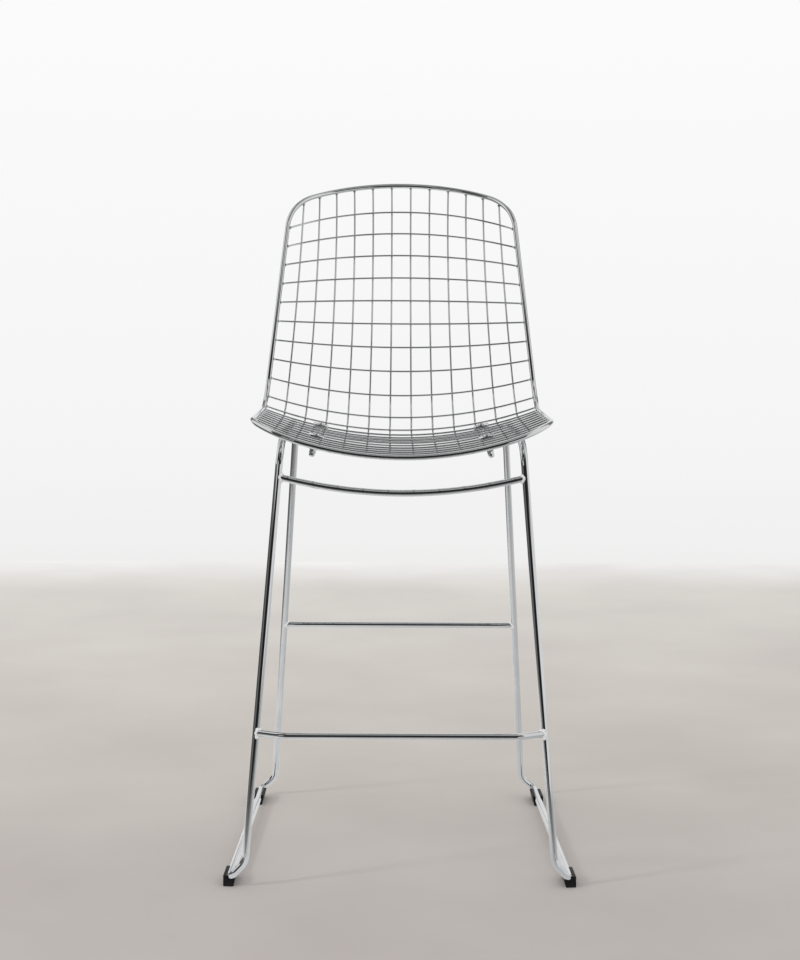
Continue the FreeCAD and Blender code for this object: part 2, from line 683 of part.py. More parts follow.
def seat_bolt(name, u, s):
    body = new_body(name, at_bolt(u, s, BOLT_SEAT))
    tip = "-(%s + dims.wire_layer_gap + %s + dims.bolt_reach)" % (CLAMP_THICKNESS, -LUG_BOTTOM)
    zero = "0 * dims.bolt_diameter"
    shank = "dims.bolt_diameter / 2"
    head = "dims.bolt_head_diameter / 2"
    crown = "dims.bolt_head_crown / 2"
    top = "dims.bolt_head_height"
    profile = outline(body, name + "_profile", "XZ_Plane", [
        (zero, tip), (shank, tip), (shank, zero), (head, zero), (head, top + " / 3"), (crown, top),
        (zero, top)])
    turned = body.newObject("PartDesign::Revolution", name + "_turned")
    turned.Profile = profile
    turned.ReferenceAxis = (profile, ["V_Axis"])
    socket = outline(body, name + "_socket_line", "XY_Plane", hexagon("dims.bolt_socket"))
    socket.setExpression("AttachmentOffset.Base.z", "dims.bolt_head_height")
    pocket = body.newObject("PartDesign::Pocket", name + "_socket")
    pocket.Profile = socket
    pocket.setExpression("Length", "dims.bolt_socket_depth")
    return body


def cap_nut(name, u, s):
    body = new_body(name, at_bolt(u, s, LUG_BOTTOM))
    plan = outline(body, name + "_hexagon_line", "XY_Plane", hexagon("dims.nut_across"))
    pad(body, name + "_hexagon", plan, "dims.nut_height", reverse=True)
    dome_line = circle(body, name + "_dome_line", "XY_Plane", "0 * dims.nut_across", "0 * dims.nut_across",
                       "dims.nut_dome_diameter / 2")
    dome = pad(body, name + "_dome", dome_line, "dims.nut_height + dims.nut_dome_height", reverse=True)
    low = -(size.nut_height + size.nut_dome_height)
    round_edges(body, name + "_crown", dome, lambda e: e.BoundBox.ZMax < low + 1e-3, "dims.nut_dome_rounding")
    bore_line = circle(body, name + "_bore_line", "XY_Plane", "0 * dims.nut_across", "0 * dims.nut_across",
                       "(dims.bolt_diameter + dims.nut_thread_gap) / 2")
    bore = body.newObject("PartDesign::Pocket", name + "_bore")
    bore.Profile = bore_line
    bore.setExpression("Length", "dims.bolt_reach + dims.nut_thread_gap")
    return body


bolts = []
nuts = []
for place, s in (("front", FRONT_ROD), ("rear", REAR_ROD)):
    for side, u in BOLT_U.items():
        where = "%s_%s" % (place, side)
        clamp_plate("clamp_plate_" + where, u, s)
        bolt_lug("bolt_lug_" + where, u, s)
        bolts.append(seat_bolt("seat_bolt_" + where, u, s))
        nuts.append(cap_nut("cap_nut_" + where, u, s))
for name, members in (("seat_bolts", bolts), ("cap_nuts", nuts)):
    group = doc.addObject("Part::Compound", name + "_group")
    group.Links = members
    keep(group, name)


# Glides: moulded saddles that clip round the runners from below

HANDS = {"right": 1, "left": -1}
SEAT_ROOM = {side: rod("glide_room_" + side, lower_run(side), "frame_diameter", "glide_gap") for side in HANDS}


def glide(place, side, along_runner):
    """Glide with its middle a distance along the runner of one side."""
    name = "glide_%s_%s" % (place, side)
    hand = HANDS[side]
    heading = (RUNNER_REAR - RUNNER_FRONT).normalize()
    middle = RUNNER_FRONT + heading * along_runner
    toe = math.degrees(math.atan2(-heading.x, heading.y))
    under = Vector(hand * middle.x, middle.y, 0)
    body = new_body(name + "_saddle", Placement(under, Rotation(Vector(0, 0, 1), hand * toe)))
    outer = "%d * (dims.frame_diameter / 2 + dims.glide_jaw)" % hand
    inner = "%d * (dims.frame_diameter / 2 + dims.glide_jaw)" % -hand
    sole = "%d * (dims.frame_diameter / 2 + dims.glide_jaw - dims.glide_taper)" % -hand
    ground = "0 * dims.glide_sole"
    section = outline(body, name + "_section", "XZ_Plane", [
        (sole, ground), (outer, ground), (outer, "dims.glide_height"), (inner, "dims.glide_height")])
    block = pad(body, name + "_block", section, "dims.glide_length", middle=True)
    round_edges(body, name + "_rounding", block,
                lambda e: runs_along(e, Vector(0, 1, 0)) and e.Vertexes[0].Z < 1e-6, "dims.glide_rounding")
    seated = doc.addObject("Part::Cut", name + "_seated")
    seated.Base = body
    seated.Tool = SEAT_ROOM[side]
    return keep(seated, name)


runner_length = (RUNNER_REAR - RUNNER_FRONT).Length
GLIDE_PLACES = {
    "front": size.glide_front_set + size.glide_length / 2,
    "rear": runner_length - size.glide_rear_set - size.glide_length / 2,
}
for place, along_runner in GLIDE_PLACES.items():
    for side in HANDS:
        glide(place, side, along_runner)

# Check every object, then write one file for each sub-part

doc.recompute()
for obj in doc.Objects:
    if "Invalid" in obj.State or "Error" in obj.State:
        raise RuntimeError("%s failed: %s" % (obj.Label, obj.State))
for node, obj in nodes:
    shape = obj.Shape
    if shape.isNull() or not shape.isValid() or not shape.Solids:
        raise RuntimeError("%s has no valid solid" % node)

os.makedirs("parts", exist_ok=True)
for node, obj in nodes:
    obj.Shape.exportStep("parts/%s.step" % node)
outline_box = FreeCAD.BoundBox()
for node, obj in nodes:
    outline_box.add(obj.Shape.BoundBox)
    shape = obj.Shape
    print("%-24s solids %d faces %3d volume %.1f" % (node, len(shape.Solids), len(shape.Faces), shape.Volume))
print("%d nodes, outline %s" % (len(nodes), outline_box))
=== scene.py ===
"""Looks of a wire bar stool: its chrome, welds, clamps and glides, in a plain studio.

Metres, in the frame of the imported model: +Z up, the sitter faces -Y, left is -X as seen from the front.
"""

import logging
import math
import random
from dataclasses import dataclass, field
from enum import Enum
from functools import cached_property
from typing import Callable, Dict, Iterable, Iterator, List, Sequence, Tuple, Union

import bmesh
import bpy
from mathutils import Matrix, Vector


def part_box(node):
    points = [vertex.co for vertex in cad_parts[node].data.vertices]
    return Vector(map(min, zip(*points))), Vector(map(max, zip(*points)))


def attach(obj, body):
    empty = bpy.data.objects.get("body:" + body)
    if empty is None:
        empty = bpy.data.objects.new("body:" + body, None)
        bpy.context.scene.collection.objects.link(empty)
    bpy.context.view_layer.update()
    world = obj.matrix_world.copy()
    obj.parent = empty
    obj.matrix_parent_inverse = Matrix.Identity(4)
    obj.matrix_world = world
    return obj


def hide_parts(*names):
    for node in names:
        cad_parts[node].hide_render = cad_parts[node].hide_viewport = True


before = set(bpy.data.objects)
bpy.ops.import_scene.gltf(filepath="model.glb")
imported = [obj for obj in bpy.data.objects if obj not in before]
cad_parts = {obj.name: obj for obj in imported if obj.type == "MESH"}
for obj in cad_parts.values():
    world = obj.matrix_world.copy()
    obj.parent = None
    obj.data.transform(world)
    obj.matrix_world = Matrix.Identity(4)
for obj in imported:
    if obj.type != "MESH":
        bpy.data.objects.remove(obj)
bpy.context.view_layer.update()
BODY = "root"
MM = 0.001
log = logging.getLogger("wire_bar_stool")

# Short names for types
Pair = Tuple[float, float]
Triple = Tuple[float, float, float]
Rings = List[List[Vector]]
Piece = bpy.types.Object
Socket = bpy.types.NodeSocket

# Limits of the small tools
ALONG_X = 0.9
BISECT_STEPS = 24
POLE_DEGREES = 80
MERGE_DISTANCE = 0.002 * MM
FLAT_ANGLE = math.radians(1.0)
SHARP_ANGLE = math.radians(28.0)
ROUNDING_SEGMENTS = 3

# Places of a colour mix's sockets, whose names repeat
MIX_FIRST = 6
MIX_SECOND = 7
MIX_RESULT = 2

# Whole range of a share
WHOLE: Pair = (0.0, 1.0)


class Side(Enum):
    """Left and right as seen from the front, each with its sign along X."""

    LEFT = -1
    RIGHT = 1


class End(Enum):
    """Front and rear ends of the seat and of the runners."""

    FRONT = "front"
    REAR = "rear"


class Slot(Enum):
    """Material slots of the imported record."""

    ROD = "rod"
    WIRE = "wire"
    FITTING = "fitting"
    GLIDE = "glide"


# Small tools

def corner_names() -> List[str]:
    """Names of the four corners, front before rear and left before right."""
    return ["%s_%s" % (end.value, side.name.lower()) for end in End for side in Side]


def smooth_step(low: float, high: float, value: float) -> float:
    """Share that eases from 0 at a low value to 1 at a high one."""
    share = min(max((value - low) / (high - low), 0.0), 1.0)
    return share * share * (3.0 - 2.0 * share)


def bisect(measure: Callable[[float], float], low: float, high: float) -> float:
    """Find where a rising or falling measure crosses zero.

    Args:
        measure: function of one value.
        low: value on one side of the crossing.
        high: value on the other side.

    Returns:
        The value at the crossing.
    """
    rising = measure(low) < 0.0
    for _ in range(BISECT_STEPS):
        middle = (low + high) / 2.0
        if (measure(middle) < 0.0) == rising:
            low = middle
        else:
            high = middle
    return (low + high) / 2.0


def whole_turn(steps: int) -> List[float]:
    """Angles of a whole turn in equal steps."""
    return [2.0 * math.pi * step / steps for step in range(steps)]


def latitudes(step: int) -> List[float]:
    """Angles of a rounded lump's rings from end to end, in radians, by a step in degrees."""
    return [math.radians(angle) for angle in range(-POLE_DEGREES, POLE_DEGREES + 1, step)]


def square_pair(axis: Vector) -> Tuple[Vector, Vector]:
    """Find two directions square to an axis and to each other.

    Args:
        axis: direction of unit length.

    Returns:
        The two directions, right-handed about the axis.
    """
    helper = Vector((1.0, 0.0, 0.0)) if abs(axis.x) < ALONG_X else Vector((0.0, 1.0, 0.0))
    first = axis.cross(helper).normalized()
    return first, axis.cross(first)


def add_rings(mesh: bmesh.types.BMesh, rings: Rings, closed: bool) -> None:
    """Skin a row of rings, each joined to the next.

    Args:
        mesh: mesh that takes the faces.
        rings: rings of points, all of the same count.
        closed: True to join the last ring to the first, False to cap both ends.
    """
    rows = [[mesh.verts.new(point) for point in ring] for ring in rings]
    count = len(rows[0])
    last = len(rows) if closed else len(rows) - 1
    for i in range(last):
        here, ahead = rows[i], rows[(i + 1) % len(rows)]
        for j in range(count):
            k = (j + 1) % count
            mesh.faces.new((here[j], here[k], ahead[k], ahead[j]))
    if not closed:
        mesh.faces.new(list(reversed(rows[0])))
        mesh.faces.new(rows[-1])


def turned_rings(base: Vector, axis: Vector, profile: Sequence[Pair], sides: int) -> Rings:
    """Turn a profile about an axis.

    Args:
        base: point of the axis where the profile's distance is zero.
        axis: direction of unit length.
        profile: pairs of distance along the axis and radius.
        sides: points round each ring.

    Returns:
        One ring of points for each pair.
    """
    first, second = square_pair(axis)
    spokes = [first * math.cos(turn) + second * math.sin(turn) for turn in whole_turn(sides)]
    return [[base + axis * along + spoke * radius for spoke in spokes] for along, radius in profile]


def linked_object(name: str, mesh: bmesh.types.BMesh) -> Piece:
    """Turn a filled mesh into an object and free the mesh.

    Args:
        name: name of the piece.
        mesh: the filled mesh.

    Returns:
        The new object, linked to the scene and smooth.
    """
    data = bpy.data.meshes.new(name)
    mesh.to_mesh(data)
    mesh.free()
    data.shade_smooth()
    piece = bpy.data.objects.new(name, data)
    bpy.context.scene.collection.objects.link(piece)
    return piece


def ring_object(name: str, capped: Iterable[Rings], loops: Iterable[Rings] = ()) -> Piece:
    """Make an object from skinned rings.

    Args:
        name: name of the piece.
        capped: rings of each form with two ends.
        loops: rings of each form that closes on itself.

    Returns:
        The new object.
    """
    mesh = bmesh.new()
    for forms, closed in ((loops, True), (capped, False)):
        for rings in forms:
            add_rings(mesh, rings, closed)
    bmesh.ops.recalc_face_normals(mesh, faces=mesh.faces)
    return linked_object(name, mesh)


def softened_copy(name: str, node: str, width: float) -> Piece:
    """Copy a node's mesh and round its sharp edges.

    Args:
        name: name of the new piece.
        node: node whose shape is copied.
        width: width of the rounding.

    Returns:
        The new object.
    """
    mesh = bmesh.new()
    mesh.from_mesh(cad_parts[node].data)
    bmesh.ops.remove_doubles(mesh, verts=mesh.verts, dist=MERGE_DISTANCE)
    bmesh.ops.dissolve_limit(mesh, angle_limit=FLAT_ANGLE, verts=mesh.verts, edges=mesh.edges)
    piece = linked_object(name, mesh)
    rounding = piece.modifiers.new("rounded_edges", "BEVEL")
    rounding.width = width
    rounding.segments = ROUNDING_SEGMENTS
    rounding.limit_method = "ANGLE"
    rounding.angle_limit = SHARP_ANGLE
    rounding.harden_normals = True
    return piece


def seat_piece(piece: Piece, finish: "Finish", slot: Slot) -> None:
    """Dress a new piece, let it ride on the stool and report it.

    Args:
        piece: the new piece.
        finish: finish that dresses it.
        slot: not used.
    """
    finish.dress(piece)
    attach(piece, BODY)
    log.info("%s: %d faces", piece.name, len(piece.data.polygons))


# Finishes

@dataclass(frozen=True)
class NodeBench:
    """Bench on which a finish lays out its shader nodes."""

    tree: bpy.types.NodeTree

    def add(self, kind: str, inputs: Dict[Union[str, int], object], **settings: object) -> bpy.types.Node:
        """Add a node.

        Args:
            kind: type of the node.
            inputs: outputs to link and values to set, by the names or places of the node's inputs.
            settings: properties of the node, by name.

        Returns:
            The new node.
        """
        node = self.tree.nodes.new(kind)
        for name, value in settings.items():
            setattr(node, name, value)
        for name, source in inputs.items():
            if isinstance(source, Socket):
                self.tree.links.new(source, node.inputs[name])
            else:
                node.inputs[name].default_value = source
        return node

    def place(self, kind: str = "Object") -> Socket:
        """Place of a shaded point, by a kind of coordinate."""
        return self.add("ShaderNodeTexCoord", {}).outputs[kind]

    def axis(self, place: Socket, name: str) -> Socket:
        """One axis of a place."""
        return self.add("ShaderNodeSeparateXYZ", {0: place}).outputs[name]

    def math(self, operation: str, first: Socket, second: Union[Socket, float]) -> Socket:
        """Result of an operation on two values."""
        return self.add("ShaderNodeMath", {0: first, 1: second}, operation=operation).outputs[0]

    def spread(self, source: Socket, start: Pair, end: Pair) -> Socket:
        """Value carried from its own range to another."""
        limits = dict(zip(("From Min", "From Max", "To Min", "To Max"), start + end))
        return self.add("ShaderNodeMapRange", {"Value": source, **limits}).outputs[0]

    def ramp(self, source: Socket, stops: Sequence[Tuple[float, Triple]]) -> Socket:
        """Turn a value into a colour by stops.

        Args:
            source: output that gives the value.
            stops: pairs of a value and its colour, from the lowest value to the highest.

        Returns:
            The output with the colour.
        """
        low = stops[0][0]
        high = stops[-1][0]
        node = self.add("ShaderNodeValToRGB", {0: self.spread(source, (low, high), WHOLE)})
        elements = node.color_ramp.elements
        while len(elements) < len(stops):
            elements.new(0.5)
        for element, (value, colour) in zip(elements, stops):
            element.position = (value - low) / (high - low)
            element.color = (*colour, 1.0)
        return node.outputs[0]

    def greys(self, source: Socket, stops: Sequence[Pair]) -> Socket:
        """Grey from a value, by stops that pair a value with a tone."""
        return self.ramp(source, [(value, (tone,) * 3) for value, tone in stops])

    def noise(self, place: Socket, pattern: Pair) -> Socket:
        """Noise from 0 to 1, by a pattern of repeats to a metre and octaves of finer noise."""
        inputs = {"Vector": place, "Scale": pattern[0], "Detail": pattern[1]}
        return self.add("ShaderNodeTexNoise", inputs).outputs[0]

    def bump(self, height: Socket, strength: float, depth: float) -> Socket:
        """Direction of a surface with a fine relief."""
        relief = {"Height": height, "Strength": strength, "Distance": depth}
        return self.add("ShaderNodeBump", relief).outputs["Normal"]

    def mix(self, share: Union[Socket, float], first: Socket, second: Socket, kind: str = "MIX") -> Socket:
        """Mix of two colours, by the share of the second."""
        colours = {"Factor": share, MIX_FIRST: first, MIX_SECOND: second}
        return self.add("ShaderNodeMix", colours, data_type="RGBA", blend_type=kind).outputs[MIX_RESULT]

    def blend(self, share: Socket, first: Socket, second: Socket) -> Socket:
        """Mix of two shaders, by the share of the second."""
        return self.add("ShaderNodeMixShader", {0: share, 1: first, 2: second}).outputs[0]


@dataclass(frozen=True)
class Finish:
    """A finish with a name, which makes its material once and dresses pieces with it."""

    name: str

    @cached_property
    def material(self) -> bpy.types.Material:
        """Material of this finish, made at its first use."""
        material = bpy.data.materials.new(self.name)
        material.use_nodes = True
        material.node_tree.nodes.clear()
        bench = NodeBench(material.node_tree)
        bench.add("ShaderNodeOutputMaterial", {"Surface": self.surface(bench)})
        return material

    def surface(self, bench: NodeBench) -> Socket:
        """Lay out the shader; each finish has its own."""
        raise NotImplementedError

    def dress(self, piece: Piece) -> None:
        """Give a piece this finish in its one material slot."""
        if piece.data.materials:
            piece.material_slots[0].link = "OBJECT"
            piece.material_slots[0].material = self.material
        else:
            piece.data.materials.append(self.material)


@dataclass(frozen=True)
class ChromeFinish(Finish):
    """Bright chrome plate over drawn steel: a thin haze, tiny ripples of the polishing and faint scuffs."""

    plating: float = 1.0
    dark_tint: Triple = (0.60, 0.61, 0.62)
    light_tint: Triple = (0.67, 0.675, 0.68)
    cloud: Pair = (14.0, 3.0)
    cloud_range: Pair = (0.35, 0.65)
    polish: float = 0.015
    haze: float = 0.05
    scuff: Pair = (90.0, 5.0)
    scuff_range: Pair = (0.45, 0.8)
    ripple: Pair = (420.0, 2.0)
    ripple_strength: float = 0.4
    ripple_depth: float = 0.003 * MM

    def surface(self, bench: NodeBench) -> Socket:
        """Lay out the plated metal.

        Args:
            bench: bench of the material.

        Returns:
            The output of the shader.
        """
        place = bench.place()
        low, high = self.cloud_range
        cloud = bench.noise(place, self.cloud)
        scuff = bench.noise(place, self.scuff)
        ripple = bench.noise(place, self.ripple)
        return bench.add("ShaderNodeBsdfPrincipled", {
            "Metallic": self.plating,
            "Base Color": bench.ramp(cloud, [(low, self.dark_tint), (high, self.light_tint)]),
            "Roughness": bench.spread(scuff, self.scuff_range, (self.polish, self.haze)),
            "Normal": bench.bump(ripple, self.ripple_strength, self.ripple_depth),
        }).outputs["BSDF"]


@dataclass(frozen=True)
class WeldFinish(ChromeFinish):
    """Plated weld metal, bright and frosted by its own small ripples."""

    plating: float = 0.2
    dark_tint: Triple = (0.86, 0.865, 0.87)
    light_tint: Triple = (0.96, 0.96, 0.96)
    cloud: Pair = (520.0, 3.0)
    polish: float = 0.12
    haze: float = 0.34
    scuff: Pair = (520.0, 3.0)
    scuff_range: Pair = WHOLE
    ripple: Pair = (520.0, 3.0)
    ripple_strength: float = 0.6
    ripple_depth: float = 0.35 * MM


@dataclass(frozen=True)
class GlideFinish(Finish):
    """Black moulded plastic with a fine grain, dulled and dusty towards the floor."""

    body: Triple = (0.006, 0.006, 0.0065)
    dust: Triple = (0.012, 0.0115, 0.011)
    dust_height: float = 4.0 * MM
    dust_patch: Pair = (260.0, 4.0)
    shine: float = 0.16
    dullness: Pair = (0.42, 0.62)
    grain: Pair = (1800.0, 2.0)
    grain_strength: float = 0.35
    grain_depth: float = 0.05 * MM

    def surface(self, bench: NodeBench) -> Socket:
        """Lay out the moulded plastic.

        Args:
            bench: bench of the material.

        Returns:
            The output of the shader.
        """
        place = bench.place()
        patch = bench.math("MULTIPLY", bench.noise(place, self.dust_patch), self.dust_height)
        level = bench.math("SUBTRACT", bench.axis(place, "Z"), patch)
        grain = bench.noise(place, self.grain)
        return bench.add("ShaderNodeBsdfPrincipled", {
            "Base Color": bench.ramp(level, [(-self.dust_height, self.dust), (self.dust_height, self.body)]),
            "Specular IOR Level": self.shine,
            "Roughness": bench.spread(grain, WHOLE, self.dullness),
            "Normal": bench.bump(grain, self.grain_strength, self.grain_depth),
        }).outputs["BSDF"]


@dataclass(frozen=True)
class FloorFinish(Finish):
    """Pale floor, lighter towards the back, with faint blotches; to polished metal it glows instead with
    painted reflection tones.

    Those painted tones change along X, with one row of them in front of the edge, mostly painted dark, and
    one around the stool, with a painted pool of light on its left.
    """

    near: Triple = (0.468, 0.436, 0.420)
    middle: Triple = (0.535, 0.502, 0.468)
    far: Triple = (0.665, 0.640, 0.604)
    edge: Triple = (0.845, 0.838, 0.830)
    rows: Tuple[float, ...] = (-0.35, 0.48, 2.34, 2.82)
    blotch: float = 0.05
    blotch_tint: Triple = (1.0, 1.2, 1.1)
    blotch_size: Pair = (2.4, 5.0)
    blotch_range: Pair = (0.3, 0.7)
    # painted reflection: tones that the floor glows with for glossy rays only, dark in front of the edge and
    # a bright painted pool of light around the stool
    painted_reflection_edge: Pair = (-0.70, -0.66)
    painted_reflection_front: Tuple[Pair, ...] = ((-1.6, 0.12), (-0.6, 0.025), (0.5, 0.025), (1.2, 0.80))
    painted_reflection_around: Tuple[Pair, ...] = ((-1.3, 0.12), (-0.6, 1.02), (-0.3, 1.02), (0.1, 0.80), (0.6, 0.66))

    def surface(self, bench: NodeBench) -> Socket:
        """Lay out the floor as the camera sees it and, in place of its real reflection, the painted glow
        that the metal sees.

        Args:
            bench: bench of the material.

        Returns:
            The output of the shader.
        """
        place = bench.add("ShaderNodeNewGeometry", {}).outputs["Position"]
        across = bench.axis(place, "X")
        depth = bench.axis(place, "Y")
        tint = bench.ramp(depth, list(zip(self.rows, (self.near, self.middle, self.far, self.edge))))
        low, high = self.blotch_range
        dark = tuple(1.0 - share * self.blotch for share in self.blotch_tint)
        light = (1.0 + self.blotch,) * 3
        blotches = bench.ramp(bench.noise(place, self.blotch_size), [(low, dark), (high, light)])
        paint = bench.mix(1.0, tint, blotches, "MULTIPLY")
        # painted reflection tones: painted dark in front, a painted pool of light around the stool
        front = bench.greys(across, self.painted_reflection_front)
        around = bench.greys(across, self.painted_reflection_around)
        tone = bench.mix(bench.spread(depth, self.painted_reflection_edge, WHOLE), front, around)
        seen = bench.add("ShaderNodeBsdfDiffuse", {"Color": paint}).outputs[0]
        # the floor glows with these painted tones for glossy rays, in place of its real light and shadow
        mirrored = bench.add("ShaderNodeEmission", {"Color": tone}).outputs[0]
        path = bench.add("ShaderNodeLightPath", {})
        return bench.blend(path.outputs["Is Glossy Ray"], seen, mirrored)


@dataclass(frozen=True)
class TentFinish(Finish):
    """Plain tones of the studio tent, read from the tone that each of its points has."""

    attribute: str = "tone"

    def surface(self, bench: NodeBench) -> Socket:
        """Lay out the glow of the tent."""
        tone = bench.add("ShaderNodeAttribute", {}, attribute_name=self.attribute)
        return bench.add("ShaderNodeEmission", {"Strength": tone.outputs["Fac"]}).outputs[0]


# Form of the seat shell

@dataclass(frozen=True)
class ShellForm:
    """Form of the shell: a centre line, a side edge, and circular arcs across between them."""

    front_y: float = -0.28235
    front_height: float = 0.6375
    slope_degrees: Tuple[float, ...] = (-2.25, 2.6, 73.0, 58.5)
    seat_run: float = 0.340
    bend_radius: float = 0.076
    back_run: float = 0.380
    side_rise: float = 0.0475
    side_front_set: float = 0.002
    side_corner_set: float = 0.032
    side_rear_drop: float = 0.0055
    side_back_angle: float = 70.0
    side_back_short: float = 0.03515
    side_bend_radius: float = 0.065
    front_half: float = 0.2183
    rear_half: float = 0.2175
    top_half: float = 0.183
    share_step: float = 0.002

    @cached_property
    def slopes(self) -> List[float]:
        """Slopes at the ends of the zones, in radians."""
        return [math.radians(angle) for angle in self.slope_degrees]

    @cached_property
    def zones(self) -> Tuple[float, float, float]:
        """Lengths of seat, bend and back along the centre line."""
        return self.seat_run, self.bend_radius * (self.slopes[2] - self.slopes[1]), self.back_run

    @cached_property
    def run(self) -> float:
        """Length of the whole centre line."""
        return sum(self.zones)

    def zone_of(self, s: float) -> Tuple[int, float]:
        """Find the zone of a place on the centre line.

        Args:
            s: distance from the front edge.

        Returns:
            The zone, 0 seat, 1 bend, 2 back, and the distance into it.
        """
        for zone, length in enumerate(self.zones[:-1]):
            if s <= length:
                return zone, s
            s -= length
        return len(self.zones) - 1, s

    def centre_line(self, s: float) -> Vector:
        """Find a point of the centre line.

        Args:
            s: distance from the front edge.

        Returns:
            The point.
        """
        here = Vector((0.0, self.front_y, self.front_height))
        last, rest = self.zone_of(s)
        for zone in range(last + 1):
            distance = rest if zone == last else self.zones[zone]
            slope = self.slopes[zone]
            curvature = (self.slopes[zone + 1] - slope) / self.zones[zone]
            ahead = slope + curvature * distance
            here.y += (math.sin(ahead) - math.sin(slope)) / curvature
            here.z += (math.cos(slope) - math.cos(ahead)) / curvature
        return here

    @cached_property
    def side_corners(self) -> Tuple[Vector, Vector, Vector]:
        """Front corner, rear corner and top of the right side edge."""
        height = self.front_height + self.side_rise
        front = Vector((self.front_half, self.front_y + self.side_front_set, height))
        rear_y = self.centre_line(self.seat_run).y + self.side_corner_set
        rear = Vector((self.rear_half, rear_y, height - self.side_rear_drop))
        slope = math.radians(self.side_back_angle)
        climb = self.back_run - self.side_back_short
        top = Vector((self.top_half, rear.y + climb * math.cos(slope), rear.z + climb * math.sin(slope)))
        return front, rear, top

    @cached_property
    def side_turn(self) -> Tuple[Vector, Vector, float]:
        """Directions of the side edge before and after its bend, and the angle between them."""
        front, rear, top = self.side_corners
        into = (rear - front).normalized()
        out = (top - rear).normalized()
        return into, out, into.angle(out)

    def side_edge(self, s: float) -> Vector:
        """Find the point of the right side edge that goes with a place on the centre line.

        Args:
            s: distance from the front edge.

        Returns:
            The point.
        """
        front, rear, top = self.side_corners
        into, out, turn = self.side_turn
        tangent = self.side_bend_radius * math.tan(turn / 2.0)
        start = rear - into * tangent
        end = rear + out * tangent
        zone, distance = self.zone_of(s)
        share = distance / self.zones[zone]
        if zone == 0:
            return front.lerp(start, share)
        if zone == 2:
            return end + (top - end) * share
        inward = (out - into * out.dot(into)).normalized()
        angle = turn * share
        centre = start + inward * self.side_bend_radius
        return centre + (into * math.sin(angle) - inward * math.cos(angle)) * self.side_bend_radius

    def point(self, u: float, s: float) -> Vector:
        """Find a point of the shell.

        Args:
            u: place across it, from -1 at the left edge to 1 at the right.
            s: distance from the front edge along the centre line.

        Returns:
            The point.
        """
        middle = self.centre_line(s)
        edge = self.side_edge(s)
        offset = Vector((0.0, edge.y - middle.y, edge.z - middle.z))
        radius = (edge.x ** 2 + offset.length_squared) / (2.0 * offset.length)
        angle = u * 2.0 * math.atan2(offset.length, edge.x)
        lift = offset.normalized() * (radius * (1.0 - math.cos(angle)))
        return middle + Vector((radius * math.sin(angle), 0.0, 0.0)) + lift

    def along(self, u: float, s: float) -> Vector:
        """Direction of the shell from front to top."""
        return (self.point(u, s + MM) - self.point(u, s - MM)).normalized()

    def across(self, u: float, s: float) -> Vector:
        """Direction of the shell from left to right."""
        return (self.point(u + self.share_step, s) - self.point(u - self.share_step, s)).normalized()

    def normal(self, u: float, s: float) -> Vector:
        """Direction square to the shell, towards the sitter."""
        return self.across(u, s).cross(self.along(u, s)).normalized()

    def off(self, u: float, s: float, height: float) -> Vector:
        """Point at a height off the shell."""
        return self.point(u, s) + self.normal(u, s) * height



# Pieces of the stool

